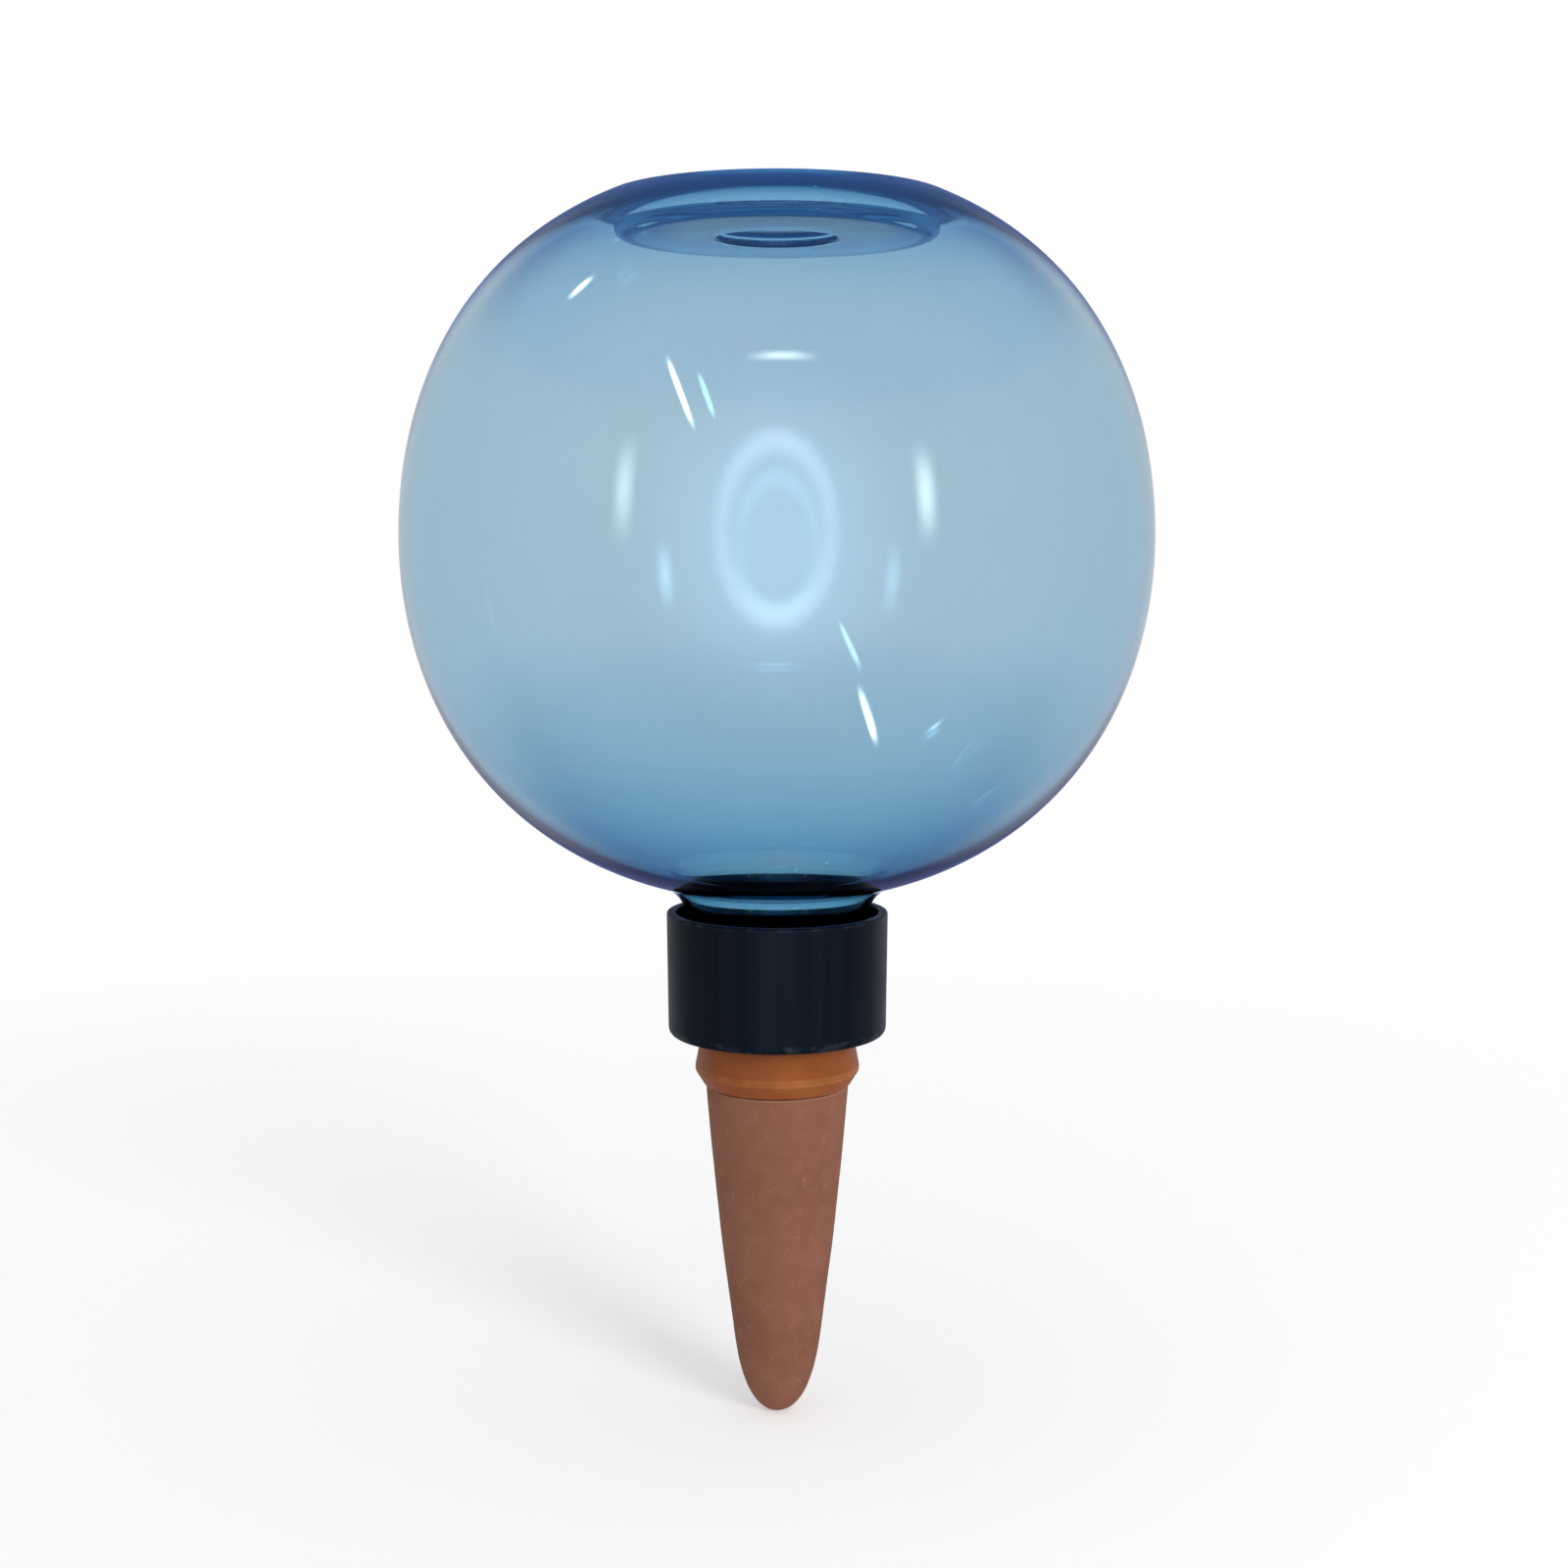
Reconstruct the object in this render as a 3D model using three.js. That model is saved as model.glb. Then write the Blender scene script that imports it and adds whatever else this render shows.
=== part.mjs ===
import * as THREE from 'three';

// Plant watering globe: a blow-moulded bottle hangs neck down in a screw cap, and a rubber grommet
// in the cap's floor holds a porous clay cone that stands in the soil.
// Millimetres, +Z up. Z = 0 is the soil line, at the lower edge of the grommet.

// Clearances
const SEAT_GAP = 0.2;             // between faces that press on each other along the axis
const SPIGOT_CLEARANCE = 0.25;    // cone spigot in the bore of the grommet
const HOLE_CLEARANCE = 0.25;      // grommet waist in the hole of the cap
const NECK_CLEARANCE = 1.7;       // neck in the bore of the cap, the room for the thread

// Clay cone
const CONE_LENGTH = 47.5;         // soil line to the tip
const CONE_RADIUS = 10.0;         // at the soil line
const CONE_BELLY = 0.27;          // how far the side swells past a straight taper
const TIP_LENGTH = 10.5;          // height of the rounded tip
const TIP_RADIUS = 6.05;          // where the side runs into the tip
const CONE_WALL = 3.0;
const SPIGOT_STEP = 1.0;          // width of the shoulder under the grommet
const SPIGOT_SETBACK = 0.4;       // spigot top below the top of the grommet
const CLAY_EDGE = 0.5;            // worn bevel on the clay's edges

// Rubber grommet
const COLLAR_HEIGHT = 7.0;        // lower edge to the underside of the cap
const COLLAR_WALL = 0.85;         // around the spigot, in the hole of the cap
const BEAD_HEIGHT = 2.35;         // of the widest line above the lower edge
const BEAD_DEPTH = 1.3;           // bead past the lip at the lower edge
const BEAD_LAND = 0.3;            // half height of the blunt crest of the bead
const LIP_OVERHANG = 0.15;        // lower lip past the clay
const COLLAR_DRAW_IN = 0.85;      // bead narrows by this up to the cap
const FLANGE_WIDTH = 2.1;         // flange past the waist
const FLANGE_THICKNESS = 1.6;

// Screw cap
const CAP_HEIGHT = 17.15;
const CAP_WALL = 1.25;
const CAP_FLOOR = 1.8;
const CAP_DRAFT = 0.2;            // radius lost from the rim down to the base
const CAP_CORNER = 1.1;           // rounded edge of the base
const CAP_LIP = 0.35;             // rounded edge of the rim

// Neck of the globe
const NECK_RADIUS = 12.4;         // root of the thread and plain part above it
const NECK_WALL = 1.6;
const NECK_LENGTH = 15.1;         // rim to the foot of the bowl's curve
const NECK_FILLET = 4.6;          // width of the curve from the bowl into the neck
const NECK_SLOPE = 0.25;          // slope of the bowl where that curve starts
const NECK_REACH = 5.4;           // how far that curve runs down the neck

// Ball of the globe
const GLOBE_RADIUS = 50.9;
const BOWL_DROP = 49.2;           // lower half
const BOWL_FULLNESS = 2.136;      // exponent of the curve: 2 is an ellipse, more is squarer
const STAND_RISE = 46.0;          // equator to the plane of the standing ring
const CROWN_OVERRUN = 4.13;       // the upper curve would close this far past that plane
const CROWN_FULLNESS = 2.179;
const WALL_EQUATOR = 0.7;
const WALL_SHOULDER = 1.9;
const WALL_NECK = 1.8;            // bottom of the bowl

// Push-up base
const RIM_ROUND = 0.3;            // height of the rounding into the standing ring
const STAND_WIDTH = 0.5;          // flat standing ring
const BASE_WALL = 1.1;
const RECESS_DEPTH = 4.2;         // below the standing ring
const RECESS_CORNER = 2.6;        // rounding where the recess turns up to the ring, inside the globe
const CORNER_RISE = 1.6;          // height of that rounding
const DISC_RADIUS = 8.2;
const DISC_RISE = 1.3;            // disc at the middle above the floor of the recess
const BASE_DRAFT = 0.25;          // slope of each upright step

const SEGMENTS = 48;
const CURVE_STEPS = 12;
const BEND_STEPS = 4;
const LONG_BEND_STEPS = 6;
const LIP_STEPS = 2;

const point = (radius, height) => new THREE.Vector2(radius, height);

// Bend through a corner, leaving and arriving along the two straight lines that meet there.
function bend(from, corner, to, steps = BEND_STEPS) {
  return new THREE.QuadraticBezierCurve(from, corner, to).getPoints(steps);
}

// Radius of a superellipse at a height above its widest line.
function radiusAt(height, radius, rise, fullness) {
  return radius * (1 - (height / rise) ** fullness) ** (1 / fullness);
}

// Height at which a superellipse has a radius.
function heightAt(distance, radius, rise, fullness) {
  return rise * (1 - (distance / radius) ** fullness) ** (1 / fullness);
}

// Quarter superellipse from its widest line up to a height, evenly stepped round the curve.
function quarter(radius, rise, fullness, reach) {
  const end = Math.asin((reach / rise) ** (fullness / 2));
  return Array.from({ length: CURVE_STEPS + 1 }, (_, i) => {
    const turn = (end * i) / CURVE_STEPS;
    return point(radius * Math.cos(turn) ** (2 / fullness), rise * Math.sin(turn) ** (2 / fullness));
  });
}

const shifted = (points, height) => points.map((p) => point(p.x, height + p.y));
const turnedDown = (points) => points.map((p) => point(p.x, -p.y)).reverse();

// Turns a profile of radii and heights about Z. Its outer side runs upward.
function turned(name, profile, look) {
  const clean = profile.filter((p, i) => i === 0 || p.distanceTo(profile[i - 1]) > 1e-6);
  const mesh = new THREE.Mesh(
    new THREE.LatheGeometry(clean, SEGMENTS),
    new THREE.MeshStandardMaterial(look),
  );
  mesh.name = name;
  mesh.rotation.x = Math.PI / 2;
  return mesh;
}

// Radii and heights that the pieces share, from the soil line up
const spigotRadius = CONE_RADIUS - SPIGOT_STEP;
const collarBore = spigotRadius + SPIGOT_CLEARANCE;
const waistRadius = collarBore + COLLAR_WALL;
const holeRadius = waistRadius + HOLE_CLEARANCE;
const flangeRadius = waistRadius + FLANGE_WIDTH;
const capBase = COLLAR_HEIGHT + SEAT_GAP;
const capFloor = capBase + CAP_FLOOR;
const flangeBase = capFloor + SEAT_GAP;
const flangeTop = flangeBase + FLANGE_THICKNESS;
const neckRim = flangeTop + SEAT_GAP;
const capBore = NECK_RADIUS + NECK_CLEARANCE;
const capRadius = capBore + CAP_WALL;
const equator = neckRim + NECK_LENGTH + BOWL_DROP;

function clayCone() {
  const shoulder = -SEAT_GAP;
  const tip = -CONE_LENGTH;
  const sideEnd = point(TIP_RADIUS, tip + TIP_LENGTH);
  const sideTop = point(CONE_RADIUS, shoulder - CLAY_EDGE);
  const swell = point((sideTop.x + sideEnd.x) / 2 + 2 * CONE_BELLY, (sideTop.y + sideEnd.y) / 2);
  const taper = (swell.x - sideEnd.x) / (swell.y - sideEnd.y);
  const spigotTop = flangeTop - SPIGOT_SETBACK;
  const bore = spigotRadius - CONE_WALL;
  const hollowEnd = point(TIP_RADIUS - CONE_WALL, sideEnd.y);
  const hollowFloor = tip + CONE_WALL;
  const hollowTurn = (sideTop.y + sideEnd.y) / 3;
  return turned('clay_cone', [
    ...bend(point(0, tip), point(TIP_RADIUS - taper * TIP_LENGTH, tip), sideEnd, LONG_BEND_STEPS),
    ...bend(sideEnd, swell, sideTop, LONG_BEND_STEPS),
    point(CONE_RADIUS - CLAY_EDGE, shoulder),
    point(spigotRadius, shoulder),
    point(spigotRadius, spigotTop - CLAY_EDGE),
    point(spigotRadius - CLAY_EDGE, spigotTop),
    point(bore + CLAY_EDGE, spigotTop),
    point(bore, spigotTop - CLAY_EDGE),
    ...bend(point(bore, shoulder), point(bore, hollowTurn), hollowEnd, LONG_BEND_STEPS),
    ...bend(hollowEnd, point(hollowEnd.x, hollowFloor), point(0, hollowFloor)),
  ], { color: 0x875a47, roughness: 0.95, metalness: 0 });
}

function sealCollar() {
  const lipRadius = CONE_RADIUS + LIP_OVERHANG;
  const beadRadius = lipRadius + BEAD_DEPTH;
  return turned('seal_collar', [
    point(collarBore, 0),
    point(lipRadius, 0),
    point(beadRadius, BEAD_HEIGHT - BEAD_LAND),
    point(beadRadius, BEAD_HEIGHT + BEAD_LAND),
    point(beadRadius - COLLAR_DRAW_IN, COLLAR_HEIGHT),
    point(waistRadius, COLLAR_HEIGHT),
    point(waistRadius, flangeBase),
    point(flangeRadius, flangeBase),
    point(flangeRadius, flangeTop),
    point(collarBore, flangeTop),
    point(collarBore, 0),
  ], { color: 0x965a34, roughness: 0.45, metalness: 0 });
}

function screwCap() {
  const baseRadius = capRadius - CAP_DRAFT;
  const rim = capBase + CAP_HEIGHT;
  const corner = point(baseRadius, capBase);
  return turned('screw_cap', [
    point(holeRadius, capBase),
    ...bend(point(baseRadius - CAP_CORNER, capBase), corner, point(baseRadius, capBase + CAP_CORNER)),
    ...bend(
      point(capRadius, rim - CAP_LIP),
      point(capRadius, rim),
      point(capRadius - CAP_LIP, rim),
      LIP_STEPS,
    ),
    ...bend(
      point(capBore + CAP_LIP, rim),
      point(capBore, rim),
      point(capBore, rim - CAP_LIP),
      LIP_STEPS,
    ),
    point(capBore, capFloor),
    point(holeRadius, capFloor),
    point(holeRadius, capBase),
  ], { color: 0x141b24, roughness: 0.35, metalness: 0 });
}

function globe() {
  const crown = STAND_RISE + CROWN_OVERRUN;
  const bore = NECK_RADIUS - NECK_WALL;

  // Outside of the bowl, down to the fillet on the neck
  const filletRadius = NECK_RADIUS + NECK_FILLET;
  const bowlReach = heightAt(filletRadius, GLOBE_RADIUS, BOWL_DROP, BOWL_FULLNESS);
  const bowl = turnedDown(quarter(GLOBE_RADIUS, BOWL_DROP, BOWL_FULLNESS, bowlReach));
  const bowlFoot = point(filletRadius, equator - bowlReach);
  const neckCorner = point(NECK_RADIUS, bowlFoot.y - NECK_SLOPE * NECK_FILLET);
  const neckTop = point(NECK_RADIUS, neckCorner.y - NECK_REACH);

  // Outside of the crown, up to the rounding into the standing ring
  const stand = equator + STAND_RISE;
  const crownReach = STAND_RISE - RIM_ROUND;
  const crownSide = quarter(GLOBE_RADIUS, crown, CROWN_FULLNESS, crownReach);
  const rimFoot = point(radiusAt(crownReach, GLOBE_RADIUS, crown, CROWN_FULLNESS), equator + crownReach);
  const lean = (GLOBE_RADIUS / crown) ** CROWN_FULLNESS * (crownReach / rimFoot.x) ** (CROWN_FULLNESS - 1);
  const rimCorner = point(rimFoot.x - lean * RIM_ROUND, stand);
  const ringOuter = rimCorner.x - rimCorner.distanceTo(rimFoot);
  const ringInner = ringOuter - STAND_WIDTH;

  // Recess of the base, with the disc raised at its middle
  const recess = stand - RECESS_DEPTH;
  const disc = recess + DISC_RISE;
  const recessEdge = ringInner - BASE_DRAFT;
  const recessCorner = RECESS_CORNER - BASE_WALL;
  const discEdge = DISC_RADIUS - BASE_DRAFT;
  const hollowEdge = recessEdge + BASE_WALL;
  const hollowFloor = recess - BASE_WALL;

  // Inside: the wall grows from the equator to the shoulder and to the neck
  const innerRadius = GLOBE_RADIUS - WALL_EQUATOR;
  const innerCrown = crown - WALL_SHOULDER;
  const innerBowl = BOWL_DROP - WALL_NECK;
  const pocket = hollowEdge + BASE_DRAFT;
  const pocketReach = heightAt(pocket, innerRadius, innerCrown, CROWN_FULLNESS);
  const throatRadius = bore + NECK_FILLET;
  const throatReach = heightAt(throatRadius, innerRadius, innerBowl, BOWL_FULLNESS);
  const throatTop = point(throatRadius, equator - throatReach);
  const throatCorner = point(bore, throatTop.y - NECK_SLOPE * NECK_FILLET);
  const throatFoot = point(bore, throatCorner.y - NECK_REACH);
  const inside = [
    ...quarter(innerRadius, innerCrown, CROWN_FULLNESS, pocketReach).reverse(),
    ...turnedDown(quarter(innerRadius, innerBowl, BOWL_FULLNESS, throatReach)).reverse(),
  ];

  return turned('globe', [
    point(0, disc - BASE_WALL),
    point(discEdge, disc - BASE_WALL),
    point(DISC_RADIUS, hollowFloor),
    ...bend(
      point(hollowEdge - RECESS_CORNER, hollowFloor),
      point(hollowEdge, hollowFloor),
      point(hollowEdge, hollowFloor + CORNER_RISE),
    ),
    ...shifted(inside, equator),
    ...bend(throatTop, throatCorner, throatFoot, LONG_BEND_STEPS),
    point(bore, neckRim),
    point(NECK_RADIUS, neckRim),
    ...bend(neckTop, neckCorner, bowlFoot, LONG_BEND_STEPS),
    ...shifted(bowl, equator),
    ...shifted(crownSide, equator),
    ...bend(rimFoot, rimCorner, point(ringOuter, stand)),
    point(ringInner, stand),
    ...bend(
      point(recessEdge, recess + recessCorner),
      point(recessEdge, recess),
      point(recessEdge - recessCorner, recess),
    ),
    point(DISC_RADIUS - BASE_WALL, recess),
    point(discEdge - BASE_WALL, disc),
    point(0, disc),
  ], { color: 0x6fa8cf, roughness: 0.05, metalness: 0, transparent: true, opacity: 0.45 });
}

const wateringGlobe = new THREE.Group();
wateringGlobe.add(clayCone(), sealCollar(), screwCap(), globe());

export default wateringGlobe;
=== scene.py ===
import math

import bpy
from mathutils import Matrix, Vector, noise


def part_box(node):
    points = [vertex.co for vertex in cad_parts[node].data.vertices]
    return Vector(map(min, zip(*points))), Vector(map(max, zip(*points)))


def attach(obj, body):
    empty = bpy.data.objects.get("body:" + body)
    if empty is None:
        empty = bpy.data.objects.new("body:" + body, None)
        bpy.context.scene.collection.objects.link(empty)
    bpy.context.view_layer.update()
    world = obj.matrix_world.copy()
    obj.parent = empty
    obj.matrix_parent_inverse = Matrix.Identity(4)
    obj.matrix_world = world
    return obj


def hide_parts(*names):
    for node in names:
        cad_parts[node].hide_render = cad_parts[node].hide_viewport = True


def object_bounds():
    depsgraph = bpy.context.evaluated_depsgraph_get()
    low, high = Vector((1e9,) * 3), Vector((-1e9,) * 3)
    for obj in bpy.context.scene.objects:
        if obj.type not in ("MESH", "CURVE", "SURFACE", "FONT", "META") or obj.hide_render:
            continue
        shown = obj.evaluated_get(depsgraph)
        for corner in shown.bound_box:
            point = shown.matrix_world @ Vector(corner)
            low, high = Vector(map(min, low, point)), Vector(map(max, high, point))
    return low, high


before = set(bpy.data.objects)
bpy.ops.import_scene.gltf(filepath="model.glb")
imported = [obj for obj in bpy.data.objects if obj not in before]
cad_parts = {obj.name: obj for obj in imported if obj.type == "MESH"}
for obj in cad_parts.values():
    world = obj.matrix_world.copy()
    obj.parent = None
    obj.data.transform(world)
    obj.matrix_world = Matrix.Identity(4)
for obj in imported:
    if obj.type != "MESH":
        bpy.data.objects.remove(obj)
cad_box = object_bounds()

# Plant watering globe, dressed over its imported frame. Profiles are in millimetres, as radius and height.
MM = 0.001

# Boxes of the four nodes give the main sizes
cone_low, cone_high = (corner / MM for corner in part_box("clay_cone"))
collar_low, collar_high = (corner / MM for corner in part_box("seal_collar"))
cap_low, cap_high = (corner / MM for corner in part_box("screw_cap"))
globe_low, globe_high = (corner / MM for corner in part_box("globe"))

# Clay cone. A rounding, here and below, is how far from a corner its bend starts.
SEAT_GAP = 0.2
CONE_BELLY = 0.27
TIP_LENGTH = 10.5
TIP_RADIUS = 6.05
CONE_WALL = 3.0
HOLLOW_BEND = 1 / 3
SHOULDER_DROP = 0.5
SHOULDER_SLOPE = 0.15
SHOULDER_ROUND = 0.4
SPIGOT_RADIUS = 9.0
SPIGOT_FOOT_ROUND = 0.2
SPIGOT_ROUND = 0.6
EVEN_RADIUS = 0.5
UNEVENNESS = (
    # waves per millimetre and depth
    (0.11, 0.06),
    (0.55, 0.025),
)

# Rubber grommet
COLLAR_BORE = 9.25
COLLAR_HEIGHT = 7.0
COLLAR_DRAW_IN = 0.85
WAIST_RADIUS = 10.1
LIP_RADIUS = 10.15
BEAD_RADIUS = 11.45
BEAD_HEIGHT = 2.35
BEAD_LAND = 0.3
FLANGE_THICKNESS = 1.6
BORE_ROUND = 0.2
LIP_ROUND = 0.25
BEAD_ROUND = 0.5
DRAW_IN_ROUND = 0.3
WAIST_ROUND = 0.2
FLANGE_ROUND = 0.4

# Screw cap
HOLE_RADIUS = 10.35
CAP_WALL = 1.25
CAP_FLOOR = 1.8
CAP_DRAFT = 0.2
HOLE_ROUND = 0.25
CAP_BASE_ROUND = 1.1
CAP_RIM_ROUND = 0.4
CAP_CORNER_ROUND = 0.5

# Globe: neck, bowl, crown, walls and base
NECK_RADIUS = 12.4
FINISH_LENGTH = 10.6
NECK_WALL = 1.25
NECK_FILLET = 4.6
NECK_SLOPE = 0.25
NECK_REACH = 5.4
NECK_RIM_ROUND = 0.4
BOWL_DROP = 49.2
BOWL_SWELL = 0.0223
STAND_RISE = 46.0
CROWN_OVERRUN = 4.13
CROWN_SWELL = 0.0289
WALL_EQUATOR = 0.36
WALL_HEEL = 0.6
HEEL_GROWTH = 11.0
SHOULDER_GROWTH = 2.6
RIM_ROUND = 0.3
STAND_WIDTH = 0.5
STAND_ROUND = 0.5
BASE_WALL = 1.0
RECESS_DEPTH = 4.2
RECESS_CORNER = 2.6
CORNER_RISE = 1.6
HEEL_DEPTH = 0.8
DISC_RADIUS = 8.2
DISC_RISE = 1.3
DISC_ROUND = 0.3
POCKET_ROUND = 0.4
BASE_DRAFT = 0.25

# Screw thread of the neck and the cap, with rows of points that start and end off the corners
PITCH = 3.175
NECK_THREAD_START = 12.4
NECK_THREAD_TURNS = 1.9
CAP_THREAD_START = NECK_THREAD_START + PITCH / 2
CAP_THREAD_TURNS = 1.8
THREAD_DEPTH = 1.1
CAP_THREAD_DEPTH = 1.15
THREAD_CREST = 0.3
THREAD_FOOT = 0.62
THREAD_RUN_OUT = 0.7
THREAD_ROW = 0.22
ROWS_MARGIN = 0.6
RIDGE_MARGIN = 0.5

# Steps of the meshes
SEGMENTS = 144
CURVE_STEPS = 40
HEEL_STEPS = 3
NECK_STEPS = 16
TIP_STEPS = 24
SIDE_STEPS = 40
HOLLOW_STEPS = 16
HOLLOW_TIP_STEPS = 10
BEND_STEPS = 8
ROUND_STEPS = 6
CIRCLE_STEPS = 96

# A rounding takes up to this share of a side, and its mask fades out past it by this factor
ROUND_SHARE = 0.4
EDGE_FADE = 1.2

# Steps of a search, and tolerances
HALVINGS = 50
ON_AXIS = 1e-6
ON_WALL = 1e-4


def swelled(radius, rise, swell, turn):
    """Point of a quarter ellipse that swells between its axes, at a turn from its widest line."""
    reach = 1 + swell * math.sin(2 * turn) ** 2
    return radius * reach * math.cos(turn), rise * reach * math.sin(turn)


def turn_where(passed):
    """Turn, up to a quarter, at which a condition starts to hold."""
    low = 0.0
    high = math.pi / 2
    for _ in range(HALVINGS):
        middle = (low + high) / 2
        if passed(middle):
            high = middle
        else:
            low = middle
    return high


def bend(start, corner, end, steps=BEND_STEPS):
    """Curve through a corner, leaving and arriving along the lines that meet there."""
    points = []
    for i in range(steps + 1):
        t = i / steps
        u = 1 - t
        points.append(tuple(
            u * u * a + 2 * u * t * b + t * t * c for a, b, c in zip(start, corner, end)
        ))
    return points


def line(start, end, step):
    """Points along a straight line, without its end."""
    count = max(1, round(math.dist(start, end) / step))
    return [
        tuple(a + (b - a) * i / count for a, b in zip(start, end)) for i in range(count)
    ]


def rounded(corners, closed=False):
    """Profile of (radius, height, edge) from (radius, height, rounding) corners.

    Edge is 1 on a bend and 0 elsewhere.
    """
    profile = []
    count = len(corners)
    for i, (r, z, rounding) in enumerate(corners):
        corner = Vector((r, z))
        inner = closed or 0 < i < count - 1
        if not rounding or not inner:
            profile.append((r, z, 0.0))
            continue
        before = Vector(corners[i - 1][:2]) - corner
        after = Vector(corners[(i + 1) % count][:2]) - corner
        reach = min(rounding, ROUND_SHARE * before.length, ROUND_SHARE * after.length)
        into = before.normalized() * reach
        out = after.normalized() * reach
        curve = bend(corner + into, corner, corner + out, ROUND_STEPS)
        profile.append((*(corner + into * EDGE_FADE), 0.0))
        profile += [(*point, 1.0) for point in curve]
        profile.append((*(corner + out * EDGE_FADE), 0.0))
    return profile


def plain(points):
    """Points of a curve as corners that are not rounded."""
    return [(r, z, 0.0) for r, z in points]


def thread_ridge(angle, height, start, turns):
    """Height of a right-hand thread's ridge, from 0 to 1, at an angle and a height."""
    best = 0.0
    for turn in range(math.ceil(turns) + 1):
        along = angle / math.tau + turn
        if not 0 <= along <= turns:
            continue
        off = abs(height - start - PITCH * along)
        side = (THREAD_FOOT - off) / (THREAD_FOOT - THREAD_CREST)
        ends = min(along, turns - along) * math.tau / THREAD_RUN_OUT
        best = max(best, min(1.0, max(0.0, side)) * min(1.0, ends))
    return best


def turned(name, profile, closed=False, shape=None):
    """Object turned about Z from a profile. A shape gives the radius at an angle and a profile point."""
    points = []
    edges = []
    rings = []
    for r, z, edge in profile:
        count = SEGMENTS if r > ON_AXIS else 1
        rings.append(range(len(points), len(points) + count))
        for k in range(count):
            angle = math.tau * k / SEGMENTS
            reach = shape(angle, r, z) if shape else r
            points.append((reach * math.cos(angle) * MM, reach * math.sin(angle) * MM, z * MM))
            edges.append(edge)
    faces = []
    pairs = list(zip(rings, rings[1:]))
    if closed:
        pairs.append((rings[-1], rings[0]))
    for low, high in pairs:
        for k in range(SEGMENTS):
            n = (k + 1) % SEGMENTS
            if len(low) == 1:
                faces.append((low[0], high[n], high[k]))
            elif len(high) == 1:
                faces.append((low[k], low[n], high[0]))
            else:
                faces.append((low[k], low[n], high[n], high[k]))
    mesh = bpy.data.meshes.new(name)
    mesh.from_pydata(points, [], faces)
    mesh.shade_smooth()
    mesh.attributes.new("edge", "FLOAT", "POINT").data.foreach_set("value", edges)
    piece = bpy.data.objects.new(name, mesh)
    bpy.context.scene.collection.objects.link(piece)
    return piece


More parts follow.
